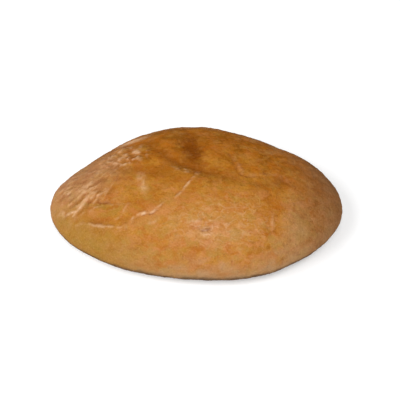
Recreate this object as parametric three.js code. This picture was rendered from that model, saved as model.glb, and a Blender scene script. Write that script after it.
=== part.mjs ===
// A flattened, pointed-oval bread with a soft, wrinkled crust: one baked piece, so one solid.
// Millimetres, +Z up. The origin is the middle of the flat base. +X runs along the loaf,
// towards its smoother end; -Y is the front and +Y the back.
import * as THREE from "three";
import { mergeVertices } from "three/addons/utils/BufferGeometryUtils.js";

// Driving sizes of the loaf.
const LENGTH = 240;
const HEIGHT = 50;
const TIP_LEVEL = 17; // height of the two noses
const WIDEST_LEVEL = 19; // height of the widest line at the middle
const UNDERSIDE_SWELL = 35; // how far the round underside would reach below that line
const BASE_EASING = 3.5; // softness of the turn into the flat base
const CREST_Y = -4.7; // the crest runs a little in front of the middle

// The outline is an ellipse whose half width changes gently along it. These are the half widths at
// the left nose, halfway to it, the middle, halfway to the right nose and the right nose. The front
// is nearly even, and the back is slim at the left and fullest at the middle.
const FRONT_HALF_WIDTHS = [60, 64, 66, 68, 64];
const BACK_HALF_WIDTHS = [50, 73, 79, 72, 66];

// Powers that shape the profiles: the crest and the underside along the loaf, the dome across it.
const TOP_PROFILE = 1;
const DOME_PROFILE = 0.95;
const UNDERSIDE_PROFILE = 0.8;

// Mesh of the crust.
const STATIONS = 84; // from nose to nose
const SEGMENTS = 62; // around
const TOP_SHARE = 0.78; // share of the segments above the widest line
const MIDDLE_CROWDING = 0.035; // how much closer the stations stand at the middle
const WELD = 1e-3;

// Creases and ridges of the crust: plan points, width of the stroke, and rise (sinks if negative).
const STROKES = [
  // The long valley that runs over the back from the upper left to the right.
  { path: [[-46, 42], [-35, 33], [-18, 19], [-5, 12], [10, 6], [27, 1], [38, -1]], width: 3.4, rise: -1.7 },
  { path: [[44, -3], [57, -3], [68, -1], [78, -4]], width: 2.8, rise: -1 },
  // The lip in front of that valley.
  { path: [[-21, 12], [-11, 7], [0, 3], [12, -1]], width: 3.2, rise: 0.9 },
  // The diagonal fold across the middle: a valley above, a raised pleat below.
  { path: [[-1, 2], [-8, -6], [-12, -11], [-18, -17]], width: 2.6, rise: -1.3 },
  { path: [[3, -3], [-4, -9], [-9, -14]], width: 3, rise: 0.8 },
  { path: [[-19, -19], [-26, -24], [-36, -31], [-43, -32], [-46, -39]], width: 2.5, rise: 1.3 },
  // The level pleat that leaves the left nose along the front.
  { path: [[-96, -34], [-79, -35], [-64, -37], [-48, -40], [-34, -38]], width: 2.8, rise: 1 },
  // The dark pinch at the left with its ridge above.
  { path: [[-88, -17], [-77, -17], [-66, -19], [-57, -22]], width: 3, rise: -1.5 },
  { path: [[-90, -15], [-80, -11], [-72, -8], [-68, -1]], width: 3.2, rise: 1.1 },
  // The pinch and the plump lobe at the left nose.
  { path: [[-106, -19], [-97, -15], [-90, -11], [-85, -6]], width: 2.6, rise: -1.1 },
  { path: [[-103, -22], [-96, -20], [-89, -17]], width: 4, rise: 1 },
  // The short crease that drops from the back edge to the long valley.
  { path: [[27, 34], [30, 16], [33, 9], [37, 4], [48, 2]], width: 2.6, rise: -1 },
  // The small bump that catches the light beside the crumpled patch.
  { path: [[-43, 3], [-39, -8]], width: 4.5, rise: 1.1 },
  // The faint crease low on the front at the left.
  { path: [[-67, -57], [-58, -56], [-48, -55]], width: 2.6, rise: -0.9 },
];

// Broad swells and hollows: plan centre, two radii and rise.
const SWELLS = [
  { at: [-4, 38], radii: [10, 24], rise: -2.4 }, // hollow under the darkest patch of the back
  { at: [-22, 44], radii: [12, 16], rise: 0.9 },
  { at: [-72, -8], radii: [14, 10], rise: -1 }, // sunken crust behind the left nose
  { at: [-30, -6], radii: [20, 14], rise: -1.1 },
  { at: [28, -34], radii: [34, 20], rise: 0.8 },
  { at: [71, -52], radii: [7, 8], rise: -1 }, // the shallow notch and the bulge at the front right
  { at: [88, -43], radii: [8, 8], rise: 1 },
];

// Fan of wrinkles that spreads from the blistered patch towards the left nose.
const FAN = {
  count: 7,
  from: [-50, 24],
  spread: [194, 226], // plan angles of the first and the last wrinkle, in degrees past the X axis
  start: 22, // distance from the fan's centre to the start of a wrinkle
  reach: [38, 34], // lengths of the first and the last wrinkle
  bend: 2,
  width: 1.7,
  rise: 0.75,
};

// Patch of small blisters behind the fan, on the back slope.
const BLISTERS = {
  count: 16,
  at: [-58, 24],
  radii: [22, 13],
  turn: 22, // degrees that the patch's long way is turned from the X axis
  size: [2.6, 4.2], // smallest and largest radius of a blister
  rise: [0.7, 1.5],
  seed: 7,
};

// Gentle unevenness all over the crust: three crossing waves.
const WAVES = [
  { along: [0.052, 0.031, 0.02], phase: 0.4, rise: 0.45 },
  { along: [-0.038, 0.083, 0.03], phase: 2.1, rise: 0.35 },
  { along: [0.121, -0.064, 0.05], phase: 4.4, rise: 0.22 },
];

const SAMPLES = 24; // points that stand for a stroke when its distance is measured
const REACH = 3; // strokes and swells are felt this many widths away
const CRUST_COLOUR = 0xb87b3c;

// Repeatable draws between 0 and 1.
function draws(seed) {
  let state = seed;
  return () => {
    state = (state * 1664525 + 1013904223) % 4294967296;
    return state / 4294967296;
  };
}

// Smooth curve through values at even stations; at runs from -1 to 1.
function through(values) {
  const curve = new THREE.SplineCurve(values.map((value, i) => new THREE.Vector2(i, value)));
  return (at) => curve.getPoint((at + 1) / 2).y;
}

const frontHalfWidth = through(FRONT_HALF_WIDTHS);
const backHalfWidth = through(BACK_HALF_WIDTHS);

// Eases a height into the flat base, so that the turn is round.
function easedToBase(z) {
  if (z > BASE_EASING) return z;
  if (z < -BASE_EASING) return 0;
  return (z + BASE_EASING) ** 2 / (4 * BASE_EASING);
}

// Point of the smooth loaf: sweep runs from the left nose to the right, turn goes round
// the section from the back's widest line over the top.
function loafPoint(sweep, turn) {
  const along = -Math.cos(sweep);
  const size = Math.max(0, Math.sin(sweep));
  const across = Math.cos(turn);
  const lift = Math.abs(Math.sin(turn));
  const half = across > 0 ? backHalfWidth(along) : frontHalfWidth(along);
  const widest = TIP_LEVEL + (WIDEST_LEVEL - TIP_LEVEL) * size;
  const z =
    Math.sin(turn) >= 0
      ? widest + (HEIGHT - WIDEST_LEVEL) * size ** TOP_PROFILE * lift ** DOME_PROFILE
      : easedToBase(widest - UNDERSIDE_SWELL * size ** UNDERSIDE_PROFILE * lift);
  return new THREE.Vector3((LENGTH / 2) * along, CREST_Y + half * size * across, z);
}

// Bell of a distance, and of a place in a stroke that fades towards both ends.
const bell = (x) => Math.exp(-x * x);
const faded = (share) => Math.sin(Math.PI * Math.min(1, Math.max(0, share))) ** 0.6;

// Rise of one stroke at a plan point.
function strokeRise(stroke, x, y) {
  let nearest = Infinity;
  let share = 0;
  stroke.points.forEach((point, i) => {
    const distance = Math.hypot(point.x - x, point.y - y);
    if (distance < nearest) {
      nearest = distance;
      share = i / SAMPLES;
    }
  });
  return nearest > REACH * stroke.width ? 0 : stroke.rise * bell(nearest / stroke.width) * faded(share);
}

// Gives a stroke the sampled points of the smooth curve through its path.
function sampled(stroke) {
  const curve = new THREE.SplineCurve(stroke.path.map(([x, y]) => new THREE.Vector2(x, y)));
  return { ...stroke, points: curve.getSpacedPoints(SAMPLES) };
}

// The fan's wrinkles: ridges that run away from its centre, each bowed a little.
function fanStrokes() {
  return Array.from({ length: FAN.count }, (_, i) => {
    const share = i / (FAN.count - 1);
    const angle = THREE.MathUtils.degToRad(THREE.MathUtils.lerp(...FAN.spread, share));
    const length = THREE.MathUtils.lerp(...FAN.reach, share);
    const place = (distance, side) => [
      FAN.from[0] + distance * Math.cos(angle) - side * Math.sin(angle),
      FAN.from[1] + distance * Math.sin(angle) + side * Math.cos(angle),
    ];
    const path = [place(FAN.start, 0), place(FAN.start + length / 2, FAN.bend), place(FAN.start + length, 0)];
    return { path, width: FAN.width, rise: FAN.rise };
  });
}

// The blisters, as round swells inside a turned oval.
function blisterSwells() {
  const draw = draws(BLISTERS.seed);
  const turn = THREE.MathUtils.degToRad(BLISTERS.turn);
  return Array.from({ length: BLISTERS.count }, () => {
    const angle = 2 * Math.PI * draw();
    const distance = Math.sqrt(draw());
    const u = BLISTERS.radii[0] * distance * Math.cos(angle);
    const v = BLISTERS.radii[1] * distance * Math.sin(angle);
    const size = THREE.MathUtils.lerp(...BLISTERS.size, draw());
    return {
      at: [
        BLISTERS.at[0] + u * Math.cos(turn) - v * Math.sin(turn),
        BLISTERS.at[1] + u * Math.sin(turn) + v * Math.cos(turn),
      ],
      radii: [size, size],
      rise: THREE.MathUtils.lerp(...BLISTERS.rise, draw()),
    };
  });
}

const strokes = [...STROKES, ...fanStrokes()].map(sampled);
const swells = [...SWELLS, ...blisterSwells()];

// Relief of the crust at a point of the smooth loaf, along its normal.
function relief(point) {
  const aboveBase = THREE.MathUtils.smoothstep(point.z, 0, WIDEST_LEVEL);
  const onTop = THREE.MathUtils.smoothstep(point.z, TIP_LEVEL / 2, WIDEST_LEVEL);
  const waves = WAVES.reduce((sum, { along, phase, rise }) => {
    return sum + rise * Math.sin(along[0] * point.x + along[1] * point.y + along[2] * point.z + phase);
  }, 0);
  const swelling = swells.reduce((sum, { at, radii, rise }) => {
    const distance = Math.hypot((point.x - at[0]) / radii[0], (point.y - at[1]) / radii[1]);
    return distance > REACH ? sum : sum + rise * bell(distance);
  }, 0);
  const stroked = strokes.reduce((sum, stroke) => sum + strokeRise(stroke, point.x, point.y), 0);
  return aboveBase * waves + onTop * (swelling + stroked);
}

// Crowds the stations towards the middle, where the loaf is longest between them.
const crowded = (share) => Math.PI * share + Math.PI * MIDDLE_CROWDING * Math.sin(2 * Math.PI * share);

// Turn round the section for a share of the segments, with most of them over the top.
function turnOf(share) {
  if (share < TOP_SHARE) return (Math.PI * share) / TOP_SHARE;
  return Math.PI + (Math.PI * (share - TOP_SHARE)) / (1 - TOP_SHARE);
}

// The whole loaf: a ball's mesh laid on the smooth form, then raised and sunk along its normals.
function loafGeometry() {
  const ball = new THREE.SphereGeometry(1, SEGMENTS, STATIONS);
  const places = ball.getAttribute("uv");
  const corners = ball.getAttribute("position");
  for (let i = 0; i < corners.count; i++) {
    const point = loafPoint(crowded(places.getY(i)), turnOf(places.getX(i) % 1));
    corners.setXYZ(i, point.x, point.y, point.z);
  }
  ball.deleteAttribute("uv");
  ball.deleteAttribute("normal");
  const surface = mergeVertices(ball, WELD);
  surface.computeVertexNormals();
  const positions = surface.getAttribute("position");
  const normals = surface.getAttribute("normal");
  for (let i = 0; i < positions.count; i++) {
    const point = new THREE.Vector3().fromBufferAttribute(positions, i);
    const normal = new THREE.Vector3().fromBufferAttribute(normals, i);
    point.addScaledVector(normal, relief(point));
    positions.setXYZ(i, point.x, point.y, Math.max(0, point.z));
  }
  surface.computeBoundingBox();
  const middle = surface.boundingBox.getCenter(new THREE.Vector3());
  surface.translate(-middle.x, -middle.y, 0);
  return surface;
}

const crust = new THREE.MeshStandardMaterial({ color: CRUST_COLOUR, roughness: 0.55, metalness: 0 });
const loaf = new THREE.Mesh(loafGeometry(), crust);
loaf.name = "loaf";

const group = new THREE.Group();
group.add(loaf);

export default group;
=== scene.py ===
"""Models the wrinkled golden crust of a puffy flatbread and sets it on a pale, softly lit stage."""

import math

import bpy
from bpy.props import FloatProperty, FloatVectorProperty, PointerProperty
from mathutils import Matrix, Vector


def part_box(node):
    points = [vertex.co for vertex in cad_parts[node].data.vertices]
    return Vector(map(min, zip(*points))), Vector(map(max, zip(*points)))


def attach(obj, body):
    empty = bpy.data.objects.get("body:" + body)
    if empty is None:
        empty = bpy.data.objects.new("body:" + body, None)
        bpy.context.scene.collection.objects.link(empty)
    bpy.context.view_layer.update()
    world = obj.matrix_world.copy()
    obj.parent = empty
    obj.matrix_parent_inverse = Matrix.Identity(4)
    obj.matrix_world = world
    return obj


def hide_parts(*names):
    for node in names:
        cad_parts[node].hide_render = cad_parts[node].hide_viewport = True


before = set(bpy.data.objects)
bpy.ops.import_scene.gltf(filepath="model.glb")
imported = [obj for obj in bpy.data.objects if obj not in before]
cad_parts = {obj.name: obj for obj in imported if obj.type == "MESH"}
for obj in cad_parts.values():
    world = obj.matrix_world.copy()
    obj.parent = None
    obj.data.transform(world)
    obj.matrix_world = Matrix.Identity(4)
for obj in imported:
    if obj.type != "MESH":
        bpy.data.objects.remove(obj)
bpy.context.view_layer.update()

bl_info = {
    "name": "Flatbread",
    "version": (1, 0, 0),
    "blender": (4, 5, 0),
    "location": "3D View > Sidebar > Flatbread",
    "description": "Models and colours a baked flatbread, and lights it",
    "category": "Object",
}

LOAF_LOW, LOAF_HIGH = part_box("loaf")
LOAF_SIZE = LOAF_HIGH - LOAF_LOW
LOAF_MIDDLE = (LOAF_HIGH + LOAF_LOW) / 2
MM = 0.001

# Lines of the crust, drawn from above. Each is its strength, then its points in millimetres,
# X to the right and Y to the back. The lip of a fold rises on the left of its way of travel.
VALLEYS = [
    (
        1.2,
        [(-44, 42), (-35, 33), (-26, 26), (-18, 19), (-11, 15)]
        + [(-5, 13), (6, 7), (17, 4), (27, 1), (36, -1)],
    ),
    (0.6, [(42, -2), (50, -4), (57, -3), (66, -1), (77, -3)]),
    (0.6, [(-71, 19), (-65, 15), (-58, 11), (-52, 9), (-43, 9), (-37, 6), (-28, 5), (-18, 3)]),
    (0.5, [(-80, -34), (-74, -36), (-68, -35)]),
]
CREASES = [
    (1.2, [(-86, -16), (-81, -17), (-77, -17), (-72, -18), (-67, -19), (-59, -21)]),
    (0.5, [(-45, -38), (-51, -38), (-57, -38), (-64, -38), (-72, -36), (-80, -34), (-88, -33)]),
    (1.0, [(27, 26), (29, 20), (31, 14), (33, 9), (36, 4), (41, 2), (48, 2), (56, 3)]),
    (0.9, [(60, 4), (66, 3), (70, 0), (76, -4)]),
    (1.2, [(3, -45), (6, -45.5), (9, -45), (11, -44)]),
    (0.4, [(-66, -54), (-58, -55), (-50, -55), (-42, -58)]),
]
FOLDS = [
    (0.95, [(-3, 0), (-6, -4), (-9, -8), (-12, -12), (-15, -16)]),
    (
        1.2,
        [(-48, -38), (-46, -35), (-42, -33), (-38, -32)] + [(-33, -31), (-30, -29), (-27, -27), (-24, -24)],
    ),
]
PLEATS = [
    (0.6, [(-29, -36), (-32, -38), (-36, -39)]),
    (0.55, [(-94, -34), (-87, -34), (-80, -36), (-72, -38), (-62, -40), (-50, -41)]),
    (0.5, [(-63, -34), (-59, -33), (-55, -27), (-52, -21)]),
    (1.0, [(-104, -25), (-97, -24), (-91, -21), (-88, -18)]),
    (0.7, [(-87, -15), (-79, -13), (-73, -11), (-69, -6)]),
    (0.5, [(-68, -20), (-63, -21), (-57, -22)]),
    (0.45, [(59, -31), (58, -37), (58, -46)]),
    (0.6, [(4, -48), (8, -48.5), (13, -46.5)]),
    (0.4, [(-3, -42), (0, -39), (4, -37)]),
    (0.5, [(-82, -25), (-78, -22), (-73, -21)]),
]

# Patches of another colour: its name in the panel, its share, the middle of an oval and its radii
# in millimetres, its turn in degrees, and how soft and how ragged its edge is.
PATCHES = [
    # Painted sheen over the middle of the front.
    ("fair", 0.22, (0, -34, 48), (50, 18, 30), 0, 0.9, 0.7),
    ("amber", 0.45, (59, -22, 44), (7, 13, 20), 0, 0.8, 1.0),
    ("amber", 0.5, (16, -71, 22), (15, 6, 9), 0, 0.6, 1.2),
    # The next two amber bands are painted shade: along a crease, and above a ridge, of the left end.
    ("amber", 0.7, (-70, -18, 42), (12, 2, 10), -8, 0.9, 0.8),
    ("amber", 0.7, (-73, -33, 40), (7, 2, 10), 0, 0.9, 0.8),
    ("amber", 0.55, (-52, -35, 43), (9, 2, 10), 0, 0.9, 0.8),
    # Painted shade in the small dent.
    ("dusk", 0.35, (7, -45, 45), (5, 2, 8), 0, 0.8, 0.6),
    ("rose", 0.55, (-33, -31, 45), (13, 5, 10), 20, 0.8, 0.8),
    ("pale", 0.28, (77, -38, 34), (9, 22, 24), -10, 0.8, 1.0),
    # Painted shade along the end of the third valley.
    ("brown", 0.5, (-26, 6, 48), (14, 5, 20), -15, 0.8, 1.0),
    ("scorched", 0.3, (67, 1, 44), (11, 3, 12), -22, 0.9, 1.0),
    # Painted sheen and light on the left end.
    ("dust", 0.33, (-93, 10, 36), (36, 25, 30), 30, 0.6, 0.6),
    ("olive", 0.65, (-82, -46, 26), (44, 14, 24), -28, 0.8, 0.6),
    ("scorched", 0.95, (-3, 29, 45), (7, 18, 26), 12, 0.9, 1.6),
]

# Ovals that hold a part of the relief, a streak or a sheen, given as the patches are.
WRINKLED = ((-90, -5, 36), (27, 20, 22), 30, 0.5, 0.5)
CRUMPLED = ((-58, 25, 41), (18, 11, 20), 15, 0.4, 0.6)
CRUMBLED = ((-8, 8, 50), (12, 2.8, 20), -24, 0.6, 0.6)
SWOLLEN = ((-42, -3, 47), (3, 8, 20), 14, 0.9, 0.9)
UNBAKED = ((-54, 47, 36), (11, 3, 7), 20, 0.9, 1.2)
WEBBED = ((20, -38, 44), (38, 18, 30), 0, 0.6, 0.6)
OILY_FRONT = ((15, -38, 44), (34, 16, 24), 0, 0.6, 0.8)
OILY_LEFT = ((-100, -8, 33), (26, 22, 30), 30, 0.6, 0.8)

# The wrinkles of the left end run towards this point, seen from above, in millimetres.
GATHER = (-50, 24)
GATHER_REACH = 45 * MM  # distance from it at which the wrinkles have their true width
GATHER_STRETCH = 0.24  # how far the wrinkles are drawn out: one is not at all

# Noises: the size of the lumps, the detail and the roughness, and for the lumps a distortion.
BREAK_NOISE = (4.5 * MM, 2, 0.5)
WRINKLE_NOISE = (3.2 * MM, 3, 0.6)
CALM_NOISE = (12 * MM, 2, 0.5)
LUMP_NOISE = (4.6 * MM, 2, 0.5, 0.3)
CRUMB_NOISE = (3.2 * MM, 2, 0.5)
SWELLING_NOISE = (4.5 * MM, 2, 0.5)
FOOT_NOISE = (7 * MM, 3, 0.5)
SWELL_NOISE = (26 * MM, 1, 0.5)
DIMPLE_NOISE = (9 * MM, 2, 0.5)
GRAIN_NOISE = (3.6 * MM, 3, 0.6)
BROAD_NOISE = (30 * MM, 3, 0.55)
BLOTCH_NOISE = (9 * MM, 3, 0.5)
MOTTLE_NOISE = (3.4 * MM, 3, 0.6)
SPOT_NOISE = (13 * MM, 3, 0.6)
STREAK_NOISE = (15 * MM, 3, 0.6)
SPECKLE_NOISE = (1.3 * MM, 3, 0.7)
GLOSS_NOISE = (8 * MM, 3, 0.5)
SKIN_NOISE = (3 * MM, 3, 0.6)
CONTOUR_NOISE = (6 * MM, 1, 0.5)
PARTING_NOISE = (3.5 * MM, 1, 0.5)

# Wanderings of a place: their size and their reach.
CALM_WANDER = (9 * MM, 2.5 * MM)
QUICK_WANDER = (2.4 * MM, 2 * MM)
PAINT_WANDER = (6 * MM, 5 * MM)

# Widths of the forms along a line. A form beside its line also has its distance from it.
VALLEY_CORE = 2.4 * MM
VALLEY_BED = 6.5 * MM
CREASE_CORE = 0.9 * MM
CREASE_BANK = (2 * MM, 2.4 * MM)
FOLD_CORE = 0.8 * MM
FOLD_LIP = (1.1 * MM, 1.4 * MM)
PLEAT_CORE = 1.0 * MM
PLEAT_FOOT = (1.2 * MM, -1.8 * MM)
STROKE_END = 0.12  # share of half a wave that a stroke's strength leaves out at each end

# How far each form raises the crust: the depth in the panel and the form's share of it.
RISES = {
    "valley core": ("valley_depth", -0.4),
    "valley bed": ("valley_depth", -0.6),
    "crease core": ("crease_depth", -1),
    "crease bank": ("crease_depth", 0.5),
    "fold core": ("fold_depth", -1),
    "fold lip": ("fold_depth", 1),
    "pleat core": ("pleat_height", 1),
    "pleat foot": ("pleat_height", -0.5),
    "wrinkle": ("wrinkle_depth", 1),
    "blister": ("blister_height", 1),
    "gap": ("blister_height", -0.5),
    "swelling": ("pleat_height", 1),
    "crumb": ("pleat_height", 1),
}

# How strongly each form is painted with shade as a dark crease, or with a highlight as a pale lip.
SHADED_FORMS = {"valley core": 0.4, "valley bed": 0.5, "crease core": 1, "fold core": 1, "gap": 0.6}
HIGHLIGHTED_FORMS = {"pleat core": 1, "fold lip": 1.25, "crease bank": 0.2, "swelling": 0.9, "crumb": 0.6}
SHADED_WRINKLES = 0.75
HIGHLIGHTED_WRINKLES = 0.8

# Heights and places between which an effect grows to its full strength, from the first on.
TOP_HEIGHTS = (9 * MM, 19 * MM)
BASE_HEIGHTS = (1 * MM, 14 * MM)
FOOT_HEIGHTS = (38 * MM, 6 * MM)
BACK_REACH = (-30 * MM, 50 * MM)
FRONT_REACH = (8 * MM, -22 * MM)
RIGHT_REACH = (20 * MM, 115 * MM)
TIP_REACH = (58 * MM, 116 * MM)
FOOT_REACH = (-75 * MM, -10 * MM)

# Weights of what makes the crust darker: its place, then its noises about their middle. The weight of the
# right end is darker baked crust and painted shade together.
BACK_BAKE = 0.8
RIGHT_BAKE_AND_SHADE = 0.7
BROAD_BAKE = 1.2
BLOTCH_BAKE = 2.2
MOTTLE_BAKE = 1.9

# Flecks: their colour in the panel, the size of their lumps, and their share at the back and front.
FLECKS = [
    ("amber", 7 * MM, (0.85, 0.85)),
    ("rose", 6 * MM, (0.25, 0.8)),
    ("straw", 8 * MM, (0.25, 0.8)),
]
FLECK_DETAIL = (3, 0.55)
FLECK_LIMITS = (0.45, 0.67)

# Shares of the paints that lie over the baked colour. The tip and the creases take painted shade; the lips,
# blisters and specks take painted highlights and glints.
SPOT_PAINT = 0.65
STREAK_PAINT = 0.4
TIP_SHADE = 0.8
FOOT_PAINT = 0.8
UNBAKED_PAINT = 0.8
CREASE_SHADE = 0.6
LIP_HIGHLIGHT = 0.55
BLISTER_HIGHLIGHT = 0.7
PORE_SHADE = 0.15
SPECKLE_GLINT = 0.16
CRACKLE_AND_GLINT = 0.2

PORE_SPACING = 3.1 * MM
DRAWN_OUT = (0.75, 1, 1)  # scale of a place, so that colours run out along the loaf
BUMP_DEPTH = 0.7 * MM
BUMP_STRENGTH = 0.8

STROKE_STEP = 0.4 * MM  # spacing of the points that stand for a stroke
VOXEL = 0.94 * MM  # mesh size of the crust
WELD = 0.01 * MM  # points of the solid closer than this are one
QUAD_ANGLE = math.radians(60)  # largest bend between two triangles that are joined
GLOBE_SEGMENTS = 128  # around the globe that the crust starts from
GLOBE_RINGS = 64

# The stage, in metres.
FLOOR_SIZE = 6
KEY_PLACE = (-1.75, -0.6, 1.7)
KEY_SIZE = 1.4
TOP_PLACE = (0.2, -1.0, 2.2)
TOP_SIZE = 1.6
NEAR_CLIP = 10 * MM


# ---------------------------------------------------------------- node helpers


def add_node(tree, kind, inputs=None, **options):
    """Adds a node, sets its options, and sets or links its inputs by name or number."""
    node = tree.nodes.new(kind)
    for name, value in options.items():
        setattr(node, name, value)
    for key, value in (inputs or {}).items():
        if isinstance(value, bpy.types.NodeSocket):
            tree.links.new(value, node.inputs[key])
        else:
            node.inputs[key].default_value = value
    return node


def number(tree, operation, *terms):
    """Works a sum on numbers and returns its result."""
    return add_node(tree, "ShaderNodeMath", dict(enumerate(terms)), operation=operation).outputs[0]


def vector(tree, operation, *terms, output="Vector"):
    """Works a sum on vectors and returns its result."""
    node = add_node(tree, "ShaderNodeVectorMath", dict(enumerate(terms)), operation=operation)
    return node.outputs[output]


def total(tree, *terms):
    """Adds up several numbers."""
    result = terms[0]
    for term in terms[1:]:
        result = number(tree, "ADD", result, term)
    return result


def product(tree, *terms):
    """Multiplies several numbers."""
    result = terms[0]
    for term in terms[1:]:
        result = number(tree, "MULTIPLY", result, term)
    return result


def ramp(tree, value, low, high, start=0.0, end=1.0):
    """Maps a value between two limits to another range, with soft ends."""
    inputs = {"Value": value, "From Min": low, "From Max": high, "To Min": start, "To Max": end}
    return add_node(tree, "ShaderNodeMapRange", inputs, interpolation_type="SMOOTHSTEP").outputs["Result"]


def noise(tree, place, size, detail, roughness, distortion=0.0, output="Fac"):
    """Cloudy noise whose lumps have about the given size in metres."""
    inputs = {
        "Vector": place,
        "Scale": 1.0 / size,
        "Detail": detail,
        "Roughness": roughness,
        "Distortion": distortion,
    }
    node = add_node(tree, "ShaderNodeTexNoise", inputs)
    return node.outputs[1 if output == "Color" else 0]


def centred(tree, value):
    """A noise value moved to lie about zero."""
    return number(tree, "SUBTRACT", value, 0.5)


def wandering(tree, place, size, reach):
    """A wandering offset of up to half the reach each way."""
    cloud = noise(tree, place, size, detail=1, roughness=0.5, output="Color")
    moved = vector(tree, "SCALE", vector(tree, "SUBTRACT", cloud, (0.5, 0.5, 0.5)))
    moved.node.inputs["Scale"].default_value = reach
    return moved


def bell(tree, distance, width):
    """One at no distance, fading to nothing over about two widths."""
    share = number(tree, "DIVIDE", distance, width)
    return number(tree, "POWER", math.exp(-1), product(tree, share, share))


def oval(tree, place, centre, radii, turn, soft, ragged):
    """One inside an oval solid given in millimetres, zero outside; its edge is soft and shaken."""
    centre, radii = [[size * MM for size in sizes] for sizes in (centre, radii)]
    offset = vector(tree, "SUBTRACT", place, centre)
    turned = add_node(
        tree,
        "ShaderNodeVectorRotate",
        {"Vector": offset, "Angle": -math.radians(turn)},
        rotation_type="Z_AXIS",
    ).outputs["Vector"]
    reach = vector(tree, "LENGTH", vector(tree, "DIVIDE", turned, radii), output="Value")
    cloud = noise(tree, place, 0.5 * min(radii[0], radii[1]), detail=3, roughness=0.5)
    reach = total(tree, reach, product(tree, centred(tree, cloud), ragged))
    return ramp(tree, reach, 1 + soft, 1 - soft)


def new_group(name, kind, inputs, outputs):
    """Makes a node group with named sockets, and returns its tree, input node and output node."""
    tree = bpy.data.node_groups.new(name, kind)
    for socket, sort in inputs.items():
        tree.interface.new_socket(socket, in_out="INPUT", socket_type=sort)
    for socket, sort in outputs.items():
        tree.interface.new_socket(socket, in_out="OUTPUT", socket_type=sort)
    return tree, tree.nodes.new("NodeGroupInput"), tree.nodes.new("NodeGroupOutput")


# ---------------------------------------------------------------- the lines of the crust


def draw_strokes(name, strokes):
    """Draws strokes flat on the floor plane as one curve; a point's radius is its strength there."""
    curve = bpy.data.curves.new(name, "CURVE")
    curve.dimensions = "3D"
    for strength, points in strokes:
        spline = curve.splines.new("BEZIER")
        spline.bezier_points.add(len(points) - 1)
        for i, (point, (x, y)) in enumerate(zip(spline.bezier_points, points)):
            point.co = (x * MM, y * MM, 0)
            point.handle_left_type = point.handle_right_type = "AUTO"
            share = STROKE_END + (1 - 2 * STROKE_END) * i / (len(points) - 1)
            point.radius = strength * math.sin(math.pi * share)
    drawn = bpy.data.objects.new(name, curve)
    bpy.context.collection.objects.link(drawn)
    return drawn


def nearest_stroke_group():
    """Geometry group: how far a place is from the nearest stroke, on which side, and its strength."""
    tree, given, result = new_group(
        "Nearest stroke",
        "GeometryNodeTree",
        {"Strokes": "NodeSocketObject", "Place": "NodeSocketVector"},
        {"Distance": "NodeSocketFloat", "Strength": "NodeSocketFloat"},
    )
    lines = add_node(tree, "GeometryNodeObjectInfo", {"Object": given.outputs["Strokes"]})
    radius = tree.nodes.new("GeometryNodeInputRadius")
    marked = add_node(
        tree,
        "GeometryNodeStoreNamedAttribute",
        {"Geometry": lines.outputs["Geometry"], "Name": "strength", "Value": radius.outputs[0]},
        data_type="FLOAT",
        domain="POINT",
    )
    dots = add_node(
        tree,
        "GeometryNodeCurveToPoints",
        {"Curve": marked.outputs["Geometry"], "Length": STROKE_STEP},
        mode="LENGTH",
    )
    place = given.outputs["Place"]
    near = add_node(
        tree,
        "GeometryNodeProximity",
        {"Geometry": dots.outputs["Points"], "Source Position": place},
        target_element="POINTS",
    )
    index = add_node(
        tree,
        "GeometryNodeSampleNearest",
        {"Geometry": dots.outputs["Points"], "Sample Position": place},
        domain="POINT",
    )
    strength = add_node(tree, "GeometryNodeInputNamedAttribute", {"Name": "strength"}, data_type="FLOAT")

    def sampled(value, data_type):
        inputs = {"Geometry": dots.outputs["Points"], "Value": value, "Index": index.outputs["Index"]}
        options = {"data_type": data_type, "domain": "POINT"}
        return add_node(tree, "GeometryNodeSampleIndex", inputs, **options).outputs[0]

    along = sampled(dots.outputs["Tangent"], "FLOAT_VECTOR")
    offset = vector(tree, "SUBTRACT", place, near.outputs["Position"])
    across = vector(tree, "CROSS_PRODUCT", along, offset)
    side = number(tree, "SIGN", add_node(tree, "ShaderNodeSeparateXYZ", {0: across}).outputs["Z"])
    signed = product(tree, near.outputs["Distance"], side)
    tree.links.new(signed, result.inputs["Distance"])
    tree.links.new(sampled(strength.outputs["Attribute"], "FLOAT"), result.inputs["Strength"])
    return tree


def gathered(tree, place):
    """Places stretched along the rays that meet at the gather: noise on them makes wrinkles."""
    parts = add_node(tree, "ShaderNodeSeparateXYZ", {0: place})
    left = number(tree, "SUBTRACT", GATHER[0] * MM, parts.outputs["X"])
    front = number(tree, "SUBTRACT", GATHER[1] * MM, parts.outputs["Y"])
    turn = number(tree, "ARCTAN2", front, left)
    squares = total(tree, product(tree, left, left), product(tree, front, front))
    around = product(tree, turn, GATHER_REACH)
    outward = product(tree, number(tree, "SQRT", squares), GATHER_STRETCH)
    return add_node(tree, "ShaderNodeCombineXYZ", {0: around, 1: outward, 2: 0.0}).outputs[0]


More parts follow.
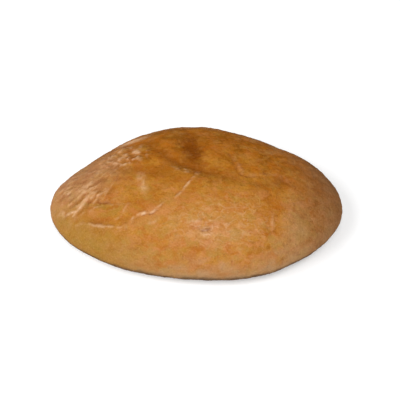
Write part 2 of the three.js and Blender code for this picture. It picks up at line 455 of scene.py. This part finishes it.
def drawn_forms(tree, place, calm, shaken, strokes):
    """How strongly each form that runs along a drawn line is felt at a place."""
    nearest = nearest_stroke_group()
    broken = ramp(tree, noise(tree, place, *BREAK_NOISE), 0.38, 0.6, 0.2, 1.3)

    def line(name, drawn_at, strength):
        node = add_node(tree, "GeometryNodeGroup", node_tree=nearest)
        node.inputs["Strokes"].default_value = strokes[name]
        tree.links.new(vector(tree, "MULTIPLY", drawn_at, (1, 1, 0)), node.inputs["Place"])
        return node.outputs["Distance"], product(tree, node.outputs["Strength"], strength)

    def crest(found, width, offset=0.0):
        distance, strength = found
        moved = number(tree, "SUBTRACT", distance, offset) if offset else distance
        return product(tree, bell(tree, moved, width), strength)

    valley = line("valleys", calm, 1.0)
    crease = line("creases", shaken, broken)
    fold = line("folds", shaken, broken)
    pleat = line("pleats", shaken, broken)
    return {
        "valley core": crest(valley, VALLEY_CORE),
        "valley bed": crest(valley, VALLEY_BED),
        "crease core": crest(crease, CREASE_CORE),
        "crease bank": crest(crease, *CREASE_BANK),
        "fold core": crest(fold, FOLD_CORE),
        "fold lip": crest(fold, *FOLD_LIP),
        "pleat core": crest(pleat, PLEAT_CORE),
        "pleat foot": crest(pleat, *PLEAT_FOOT),
    }


def clouded_forms(tree, place, shaken):
    """How strongly each form that fills an oval is felt: wrinkles, blisters, a swelling, crumbs."""
    wrinkled = oval(tree, place, *WRINKLED)
    wrinkle = noise(tree, gathered(tree, shaken), *WRINKLE_NOISE)
    patchy = ramp(tree, noise(tree, place, *CALM_NOISE), 0.36, 0.58, 0.25, 1.25)
    crumpled = oval(tree, place, *CRUMPLED)
    lumps = noise(tree, vector(tree, "MULTIPLY", shaken, (0.85, 1.2, 1)), *LUMP_NOISE)
    crumbled = oval(tree, place, *CRUMBLED)
    swollen = oval(tree, shaken, *SWOLLEN)
    return {
        "wrinkle": product(tree, ramp(tree, wrinkle, 0.32, 0.68, -1.0, 1.0), wrinkled, patchy),
        "blister": product(tree, ramp(tree, lumps, 0.46, 0.7), crumpled),
        "gap": product(tree, ramp(tree, lumps, 0.46, 0.3), crumpled),
        "crumb": product(tree, ramp(tree, noise(tree, shaken, *CRUMB_NOISE), 0.47, 0.68), crumbled),
        "swelling": product(
            tree, swollen, ramp(tree, noise(tree, shaken, *SWELLING_NOISE), 0.34, 0.6, 0.3, 1.1)
        ),
    }


def relief_tree(sizes, strokes):
    """Geometry tree that raises and sinks the crust along its normals, and marks its creases and lips for
    painted shade and highlights, and its down-facing part for painted shade.
    """
    tree, given, result = new_group(
        "Crust relief",
        "GeometryNodeTree",
        {"Geometry": "NodeSocketGeometry"},
        {"Geometry": "NodeSocketGeometry"},
    )
    place = tree.nodes.new("GeometryNodeInputPosition").outputs[0]
    normal = tree.nodes.new("GeometryNodeInputNormal").outputs[0]
    facing = add_node(tree, "ShaderNodeSeparateXYZ", {0: normal}).outputs["Z"]
    height = add_node(tree, "ShaderNodeSeparateXYZ", {0: place}).outputs["Z"]
    calm = vector(tree, "ADD", place, wandering(tree, place, *CALM_WANDER))
    shaken = vector(tree, "ADD", calm, wandering(tree, place, *QUICK_WANDER))
    forms = drawn_forms(tree, place, calm, shaken, strokes)
    forms.update(clouded_forms(tree, place, shaken))

    def weighted(weights):
        return total(tree, *(product(tree, forms[name], weight) for name, weight in weights.items()))

    def uneven(at, cloud, weight):
        return product(tree, centred(tree, noise(tree, at, *cloud)), sizes.unevenness * weight)

    lines = weighted({name: getattr(sizes, depth) * share for name, (depth, share) in RISES.items()})
    skin = total(
        tree,
        uneven(place, SWELL_NOISE, 2),
        uneven(shaken, DIMPLE_NOISE, 1.5),
        uneven(shaken, GRAIN_NOISE, 1.5),
    )
    on_top = ramp(tree, height, *TOP_HEIGHTS)
    off_base = ramp(tree, height, *BASE_HEIGHTS)
    rise = total(tree, product(tree, lines, on_top), product(tree, skin, off_base))
    offset = vector(tree, "SCALE", normal)
    tree.links.new(rise, offset.node.inputs["Scale"])
    raised = add_node(tree, "GeometryNodeSetPosition", {"Offset": offset})

    # Painted shade in the hollows of the wrinkles, painted highlights on their crests.
    hollow_shade = product(tree, ramp(tree, forms["wrinkle"], 0.1, -1.0), SHADED_WRINKLES)
    ridge_highlight = product(tree, ramp(tree, forms["wrinkle"], 0.0, 1.0), HIGHLIGHTED_WRINKLES)
    ragged_foot = product(tree, centred(tree, noise(tree, place, *FOOT_NOISE)), 0.5)
    marks = {
        "crease": product(tree, on_top, total(tree, weighted(SHADED_FORMS), hollow_shade)),
        "lip": product(tree, on_top, total(tree, weighted(HIGHLIGHTED_FORMS), ridge_highlight)),
        "blister": product(tree, on_top, forms["blister"]),
        "underside": ramp(tree, total(tree, facing, ragged_foot), 0.2, -0.3),
    }
    shape = given.outputs["Geometry"]
    for name, value in marks.items():
        inputs = {"Geometry": shape, "Name": name, "Value": value}
        options = {"data_type": "FLOAT", "domain": "POINT"}
        shape = add_node(tree, "GeometryNodeStoreNamedAttribute", inputs, **options).outputs["Geometry"]
    tree.links.new(shape, raised.inputs["Geometry"])
    tree.links.new(raised.outputs["Geometry"], result.inputs["Geometry"])
    return tree


# ---------------------------------------------------------------- the crust


def deselect_all():
    """Leaves nothing selected."""
    for chosen in list(bpy.context.selected_objects):
        chosen.select_set(False)


def make_active(piece):
    """Selects one piece alone."""
    deselect_all()
    piece.select_set(True)
    bpy.context.view_layer.objects.active = piece


def apply_modifier(piece, name, kind, **options):
    """Adds a modifier with its options and applies it at once."""
    make_active(piece)
    modifier = piece.modifiers.new(name, kind)
    for option, value in options.items():
        setattr(modifier, option, value)
    bpy.ops.object.modifier_apply(modifier=modifier.name)


def smooth_former():
    """A smooth copy of the solid loaf, for the crust to lie on."""
    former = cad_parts["loaf"].copy()
    former.data = former.data.copy()
    former.parent = None
    former.name = "former"
    bpy.context.collection.objects.link(former)
    make_active(former)
    bpy.ops.object.mode_set(mode="EDIT")
    bpy.ops.mesh.select_all(action="SELECT")
    bpy.ops.mesh.remove_doubles(threshold=WELD)
    bpy.ops.mesh.tris_convert_to_quads(face_threshold=QUAD_ANGLE, shape_threshold=QUAD_ANGLE)
    bpy.ops.object.mode_set(mode="OBJECT")
    apply_modifier(former, "Rounding", "SUBSURF", levels=1, render_levels=1)
    return former


class FLATBREAD_OT_crust(bpy.types.Operator):
    """Models the loaf's crust over the solid, with its folds, wrinkles and blisters"""

    bl_idname = "flatbread.crust"
    bl_label = "Model Crust"

    def execute(self, context):
        sizes = context.scene.flatbread_sizes
        deselect_all()
        bpy.ops.mesh.primitive_uv_sphere_add(
            segments=GLOBE_SEGMENTS, ring_count=GLOBE_RINGS, radius=0.5, location=LOAF_MIDDLE
        )
        crust = context.active_object
        crust.name = "crust"
        crust.data.name = "crust"
        bpy.ops.transform.resize(value=LOAF_SIZE)
        bpy.ops.object.transform_apply(location=True, rotation=True, scale=True)
        former = smooth_former()
        fit = {"target": former, "wrap_method": "NEAREST_SURFACEPOINT"}
        apply_modifier(crust, "First fit", "SHRINKWRAP", **fit)
        apply_modifier(crust, "Dough", "REMESH", mode="VOXEL", voxel_size=VOXEL, use_smooth_shade=True)
        apply_modifier(crust, "Close fit", "SHRINKWRAP", **fit)
        apply_modifier(crust, "Settling", "SMOOTH", factor=0.5, iterations=3)
        strokes = {
            "valleys": draw_strokes("valleys", VALLEYS),
            "creases": draw_strokes("creases", CREASES),
            "folds": draw_strokes("folds", FOLDS),
            "pleats": draw_strokes("pleats", PLEATS),
        }
        apply_modifier(crust, "Relief", "NODES", node_group=relief_tree(sizes, strokes))
        for helper in (former, *strokes.values()):
            bpy.data.objects.remove(helper)
        if not crust.data.polygons:
            raise RuntimeError("the crust came out empty")
        crust.data.materials.clear()
        crust.data.materials.append(crust_material(context.scene.flatbread_colours))
        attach(crust, "root")
        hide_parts("loaf")
        return {"FINISHED"}


# ---------------------------------------------------------------- finishes


def mix_colour(tree, share, first, second, blend="MIX"):
    """Mixes two colours by a share."""
    node = tree.nodes.new("ShaderNodeMix")
    node.data_type = "RGBA"
    node.blend_type = blend
    for socket, value in ((node.inputs[0], share), (node.inputs[6], first), (node.inputs[7], second)):
        if isinstance(value, bpy.types.NodeSocket):
            tree.links.new(value, socket)
        else:
            socket.default_value = value
    return node.outputs[2]


def attribute(tree, name):
    """A value that the crust's mesh carries."""
    return add_node(tree, "ShaderNodeAttribute", attribute_name=name).outputs["Fac"]


def fine_lines(tree, place):
    """Short, thin, curved lines that cross each other, as a thin skin shows when it dries."""
    lines = []
    for shift in (2, 3):
        moved = vector(tree, "ADD", vector(tree, "MULTIPLY", place, (0.6, 1, 1)), (shift, 0, 0))
        contour = number(tree, "ABSOLUTE", centred(tree, noise(tree, moved, *CONTOUR_NOISE)))
        parted = ramp(tree, noise(tree, moved, *PARTING_NOISE), 0.45, 0.6)
        lines.append(product(tree, ramp(tree, contour, 0.07, 0.0), parted))
    return number(tree, "MAXIMUM", *lines)


def paint(tree, colour, share, tone, strength=1.0):
    """Lays a tone over a colour, by a share and a strength."""
    return mix_colour(tree, product(tree, share, strength), colour, (*tone, 1))


def baked_colour(tree, place, shaken, colours):
    """The crust's ground colour with its spots, flecks and patches, among them painted shade and painted
    sheen, and the painted shade and highlights of the relief.
    """
    parts = add_node(tree, "ShaderNodeSeparateXYZ", {0: place})
    drawn_out = vector(tree, "MULTIPLY", shaken, DRAWN_OUT)
    broad = noise(tree, place, *BROAD_NOISE)
    blotch = centred(tree, noise(tree, drawn_out, *BLOTCH_NOISE))
    mottle = centred(tree, noise(tree, drawn_out, *MOTTLE_NOISE))
    front = ramp(tree, parts.outputs["Y"], *FRONT_REACH)
    # The right end is darkened partly as painted shade.
    bake = total(
        tree,
        product(tree, ramp(tree, parts.outputs["Y"], *BACK_REACH), BACK_BAKE),
        product(tree, ramp(tree, parts.outputs["X"], *RIGHT_REACH), RIGHT_BAKE_AND_SHADE),
        product(tree, centred(tree, broad), BROAD_BAKE),
        product(tree, blotch, BLOTCH_BAKE),
        product(tree, mottle, MOTTLE_BAKE),
    )
    colour = mix_colour(tree, ramp(tree, bake, 0.0, 1.0), (*colours.golden, 1), (*colours.brown, 1))
    spots = ramp(tree, noise(tree, shaken, *SPOT_NOISE), 0.46, 0.68)
    spot_colour = mix_colour(tree, front, (*colours.honey, 1), (*colours.tan, 1))
    colour = mix_colour(tree, product(tree, spots, SPOT_PAINT), colour, spot_colour)
    for shift, (name, size, shares) in enumerate(FLECKS, start=1):
        moved = vector(tree, "ADD", drawn_out, (shift, 0, 0))
        fleck = ramp(tree, noise(tree, moved, size, *FLECK_DETAIL), *FLECK_LIMITS)
        strength = ramp(tree, parts.outputs["Y"], *FRONT_REACH, *shares)
        colour = paint(tree, colour, fleck, getattr(colours, name), strength)
    moved = vector(tree, "ADD", drawn_out, (len(FLECKS) + 1, 0, 0))
    streaks = ramp(tree, noise(tree, moved, *STREAK_NOISE), 0.48, 0.64)
    colour = paint(tree, colour, streaks, colours.amber, STREAK_PAINT)
    for name, strength, *shape in PATCHES:
        colour = paint(tree, colour, oval(tree, shaken, *shape), getattr(colours, name), strength)
    # Painted shade: the right tip darker, where the light falls away.
    tip = ramp(tree, parts.outputs["X"], *TIP_REACH)
    colour = paint(tree, colour, tip, colours.dusk, TIP_SHADE)

    level = total(tree, parts.outputs["Z"], product(tree, broad, -10 * MM), product(tree, blotch, 30 * MM))
    foot = product(
        tree,
        ramp(tree, level, *FOOT_HEIGHTS),
        number(tree, "SUBTRACT", 1.0, product(tree, tip, 0.6)),
        ramp(tree, parts.outputs["X"], *FOOT_REACH, 0.15, 1.0),
    )
    colour = paint(tree, colour, foot, colours.pale, FOOT_PAINT)
    # Down-facing crust below the bulge: toasted colour darkened further as painted shade.
    base_share = ramp(tree, total(tree, blotch, mottle), -0.2, 0.2, 0.78, 0.95)
    colour = paint(tree, colour, attribute(tree, "underside"), colours.toasted_and_shaded_bottom, base_share)
    colour = paint(tree, colour, oval(tree, place, *UNBAKED), colours.flour_and_highlight, UNBAKED_PAINT)
    # Painted shade in the creases and gaps, painted highlights on the lips and blisters.
    colour = paint(tree, colour, attribute(tree, "crease"), colours.scorched, CREASE_SHADE)
    colour = paint(tree, colour, attribute(tree, "lip"), colours.flour_and_highlight, LIP_HIGHLIGHT)
    return paint(tree, colour, attribute(tree, "blister"), colours.flour_and_highlight, BLISTER_HIGHLIGHT)


def crust_material(colours):
    """Baked crust: golden brown, darker over the back and the right, pale round the foot, with painted
    shade in its creases, at the right and below the bulge, and painted highlights and sheen.
    """
    material = bpy.data.materials.new("crust")
    material.use_nodes = True
    tree = material.node_tree
    shader = tree.nodes["Principled BSDF"]
    place = tree.nodes.new("ShaderNodeTexCoord").outputs["Object"]
    shaken = vector(tree, "ADD", place, wandering(tree, place, *PAINT_WANDER))
    blister = attribute(tree, "blister")

    speckle = noise(tree, place, *SPECKLE_NOISE)
    pores = add_node(
        tree, "ShaderNodeTexVoronoi", {"Vector": place, "Scale": 1 / PORE_SPACING}, feature="F1"
    )
    pore = ramp(tree, pores.outputs["Distance"], 0.2, 0.08)
    shade = ramp(tree, speckle, 0.3, 0.6, 0.9, 1.01)
    shade = product(tree, shade, number(tree, "SUBTRACT", 1.0, product(tree, pore, PORE_SHADE)))
    grey = add_node(tree, "ShaderNodeCombineXYZ", {0: shade, 1: shade, 2: shade}).outputs[0]
    webbed = total(tree, 0.15, oval(tree, place, *WEBBED))
    crackle = product(tree, fine_lines(tree, shaken), webbed)
    depth = add_node(tree, "ShaderNodeSeparateXYZ", {0: place}).outputs["Y"]
    forward = ramp(tree, depth, *FRONT_REACH, 0.25, 0.8)
    # Pale specks towards the front are painted glints; the fine lines are the drying skin's pattern,
    # painted pale as glints of the sheen.
    glint_specks = product(tree, ramp(tree, speckle, 0.5, 0.75), forward)
    colour = mix_colour(tree, 1.0, baked_colour(tree, place, shaken, colours), grey, "MULTIPLY")
    colour = paint(tree, colour, glint_specks, colours.flour_and_highlight, SPECKLE_GLINT)
    colour = paint(tree, colour, crackle, colours.flour_and_highlight, CRACKLE_AND_GLINT)
    tree.links.new(colour, shader.inputs["Base Color"])

    gloss = noise(tree, vector(tree, "ADD", shaken, (0, 1, 0)), *GLOSS_NOISE)
    rough = ramp(tree, gloss, 0.35, 0.65, 0.62, 0.4)
    rough = total(tree, rough, product(tree, blister, -0.15))
    tree.links.new(rough, shader.inputs["Roughness"])
    shader.inputs["Specular IOR Level"].default_value = 0.0
    oil = total(
        tree,
        0.03,
        product(tree, oval(tree, shaken, *OILY_FRONT), gloss, 0.6),
        product(tree, oval(tree, shaken, *OILY_LEFT), gloss, 0.4),
        product(tree, blister, 0.5),
        product(tree, attribute(tree, "lip"), 0.3),
    )
    tree.links.new(oil, shader.inputs["Coat Weight"])
    shader.inputs["Coat Roughness"].default_value = 0.38

    skin = total(
        tree,
        product(tree, crackle, 0.15),
        product(tree, noise(tree, vector(tree, "MULTIPLY", shaken, DRAWN_OUT), *SKIN_NOISE), 1.5),
        product(tree, pore, -0.25),
    )
    inputs = {"Strength": BUMP_STRENGTH, "Distance": BUMP_DEPTH, "Height": skin}
    tree.links.new(add_node(tree, "ShaderNodeBump", inputs).outputs["Normal"], shader.inputs["Normal"])
    return material


def floor_material(colour):
    """Plain pale board."""
    material = bpy.data.materials.new("floor")
    material.use_nodes = True
    shader = material.node_tree.nodes["Principled BSDF"]
    shader.inputs["Base Color"].default_value = (*colour, 1)
    shader.inputs["Roughness"].default_value = 0.9
    shader.inputs["Specular IOR Level"].default_value = 0.1
    return material


# ---------------------------------------------------------------- the stage


def add_softbox(name, place, size, power, target):
    """A square area lamp that faces a point."""
    bpy.ops.object.light_add(type="AREA", location=place)
    lamp = bpy.context.active_object
    lamp.name = name
    lamp.data.shape = "SQUARE"
    lamp.data.size = size
    lamp.data.energy = power
    lamp.rotation_euler = (Vector(target) - Vector(place)).to_track_quat("-Z", "Y").to_euler()
    return lamp


class FLATBREAD_OT_stage(bpy.types.Operator):
    """Adds the floor, the soft lights and the camera"""

    bl_idname = "flatbread.stage"
    bl_label = "Set Stage"

    def execute(self, context):
        studio = context.scene.flatbread_studio
        deselect_all()
        bpy.ops.mesh.primitive_plane_add(size=FLOOR_SIZE, location=(0, 0, 0))
        floor = context.active_object
        floor.name = "floor"
        floor.data.materials.append(floor_material(studio.floor_colour))

        world = bpy.data.worlds.new("studio")
        world.use_nodes = True
        sky = world.node_tree.nodes["Background"]
        sky.inputs["Color"].default_value = (1, 1, 1, 1)
        sky.inputs["Strength"].default_value = studio.ambient
        context.scene.world = world
        add_softbox("key", KEY_PLACE, KEY_SIZE, studio.key_power, LOAF_MIDDLE)
        add_softbox("overhead", TOP_PLACE, TOP_SIZE, studio.top_power, LOAF_MIDDLE)
        context.scene.view_settings.view_transform = "Standard"

        target = Vector(studio.camera_target)
        elevation = studio.camera_elevation
        view = Vector((0, math.cos(elevation), -math.sin(elevation)))
        bpy.ops.object.camera_add(location=target - view * studio.camera_distance)
        camera = context.active_object
        camera.name = "camera"
        camera.rotation_euler = view.to_track_quat("-Z", "Y").to_euler()
        camera.data.lens = studio.lens
        camera.data.clip_start = NEAR_CLIP
        context.scene.camera = camera
        return {"FINISHED"}


# ---------------------------------------------------------------- settings and panel


def length(name, description, default):
    """A length that the user may change."""
    return FloatProperty(
        name=name, description=description, default=default, unit="LENGTH", precision=5
    )


def power(name, description, default):
    """A lamp's power that the user may change."""
    return FloatProperty(name=name, description=description, default=default, subtype="POWER")


def tint(name, description, default):
    """A colour that the user may change."""
    return FloatVectorProperty(
        name=name, description=description, default=default, subtype="COLOR", size=3, min=0, max=1
    )


class FlatbreadSizes(bpy.types.PropertyGroup):
    """Depths of the crust's relief."""

    valley_depth: length("Valley depth", "Depth of the long soft valleys", 1.3 * MM)
    crease_depth: length("Crease depth", "Depth of the thin creases", 0.45 * MM)
    fold_depth: length("Fold depth", "Depth of the sharp folds", 0.55 * MM)
    pleat_height: length("Pleat height", "Height of the raised pleats", 0.4 * MM)
    wrinkle_depth: length("Wrinkle depth", "Depth of the wrinkles at the left end", 0.4 * MM)
    blister_height: length("Blister height", "Height of the small blisters", 0.9 * MM)
    unevenness: length("Unevenness", "Soft unevenness of the whole crust", 0.7 * MM)


class FlatbreadColours(bpy.types.PropertyGroup):
    """Colours of the crust."""

    golden: tint("Golden", "Crust of the front and the middle", (0.405, 0.165, 0.018))
    # Partly painted shade: the darker right end, and the band along the end of the third valley.
    brown: tint("Brown", "Darker baked crust of the back and the right", (0.25, 0.078, 0.004))
    tan: tint("Tan", "Paler, drier spots of the front", (0.43, 0.19, 0.04))
    honey: tint("Honey", "Paler spots of the back", (0.43, 0.144, 0.01))
    amber: tint("Amber", "Redder, oilier spots", (0.35, 0.102, 0.007))
    rose: tint("Rose", "Pinkish spots", (0.455, 0.178, 0.052))
    straw: tint("Straw", "Yellower spots", (0.35, 0.174, 0.027))
    # Painted sheen: lighter, paler crust over the middle of the front.
    fair: tint("Fair", "Lighter crust over the middle of the front", (0.52, 0.22, 0.052))
    # Painted shade of the right tip and the small dent.
    dusk: tint("Dusk", "Dull brown of the right tip and the small dent", (0.18, 0.07, 0.022))
    olive: tint("Olive", "Duller crust at the front of the left end", (0.28, 0.15, 0.024))
    # Painted sheen and light on the left end, greyer and paler.
    dust: tint("Dust", "Greyer, floury crust of the left end", (0.42, 0.27, 0.17))
    # Also the painted shade in the creases and gaps.
    scorched: tint("Scorched", "Darkest patches and the creases", (0.17, 0.042, 0.002))
    # Toasted base crust, darkened further as painted shade where the bulge faces the floor.
    toasted_and_shaded_bottom: tint("Bottom", "Darker crust below the widest line", (0.085, 0.045, 0.023))
    pale: tint("Pale", "Thin crust round the foot", (0.37, 0.235, 0.125))
    # Also the painted highlights on the lips, pleats, blisters and crumbs.
    flour_and_highlight: tint("Flour", "Tops of the folds, and the unbaked streak", (0.66, 0.4, 0.22))


class FlatbreadStudio(bpy.types.PropertyGroup):
    """Camera and light."""

    camera_elevation: FloatProperty(
        name="Camera elevation",
        description="How far the camera looks down",
        default=math.radians(57),
        subtype="ANGLE",
    )
    camera_distance: length("Camera distance", "From the camera to its target", 462.9 * MM)
    camera_target: FloatVectorProperty(
        name="Camera target",
        description="Point in the middle of the picture",
        default=(0.0032, 0, 0.0166),
        subtype="XYZ",
    )
    lens: FloatProperty(name="Lens", description="Focal length in millimetres", default=50)
    key_power: power("Key power", "Power of the softbox at the left", 35)
    top_power: power("Top power", "Power of the softbox overhead", 52.5)
    ambient: FloatProperty(
        name="Ambient", description="Brightness of the surrounding studio", default=0.2
    )
    floor_colour: tint("Floor", "Colour of the floor", (0.95, 0.95, 0.95))


class FLATBREAD_PT_panel(bpy.types.Panel):
    """Lists the operators and the settings."""

    bl_idname = "FLATBREAD_PT_panel"
    bl_label = "Flatbread"
    bl_space_type = "VIEW_3D"
    bl_region_type = "UI"
    bl_category = "Flatbread"

    def draw(self, context):
        for operator in (FLATBREAD_OT_crust, FLATBREAD_OT_stage):
            self.layout.operator(operator.bl_idname)
        for group in ("flatbread_sizes", "flatbread_colours", "flatbread_studio"):
            settings = getattr(context.scene, group)
            for name in settings.__annotations__:
                self.layout.prop(settings, name)


CLASSES = (
    FlatbreadSizes,
    FlatbreadColours,
    FlatbreadStudio,
    FLATBREAD_OT_crust,
    FLATBREAD_OT_stage,
    FLATBREAD_PT_panel,
)


def register():
    for kind in CLASSES:
        bpy.utils.register_class(kind)
    bpy.types.Scene.flatbread_sizes = PointerProperty(type=FlatbreadSizes)
    bpy.types.Scene.flatbread_colours = PointerProperty(type=FlatbreadColours)
    bpy.types.Scene.flatbread_studio = PointerProperty(type=FlatbreadStudio)


def unregister():
    del bpy.types.Scene.flatbread_studio
    del bpy.types.Scene.flatbread_colours
    del bpy.types.Scene.flatbread_sizes
    for kind in reversed(CLASSES):
        bpy.utils.unregister_class(kind)


def main():
    register()
    bpy.ops.flatbread.stage()
    bpy.ops.flatbread.crust()


if __name__ == "__main__":
    main()
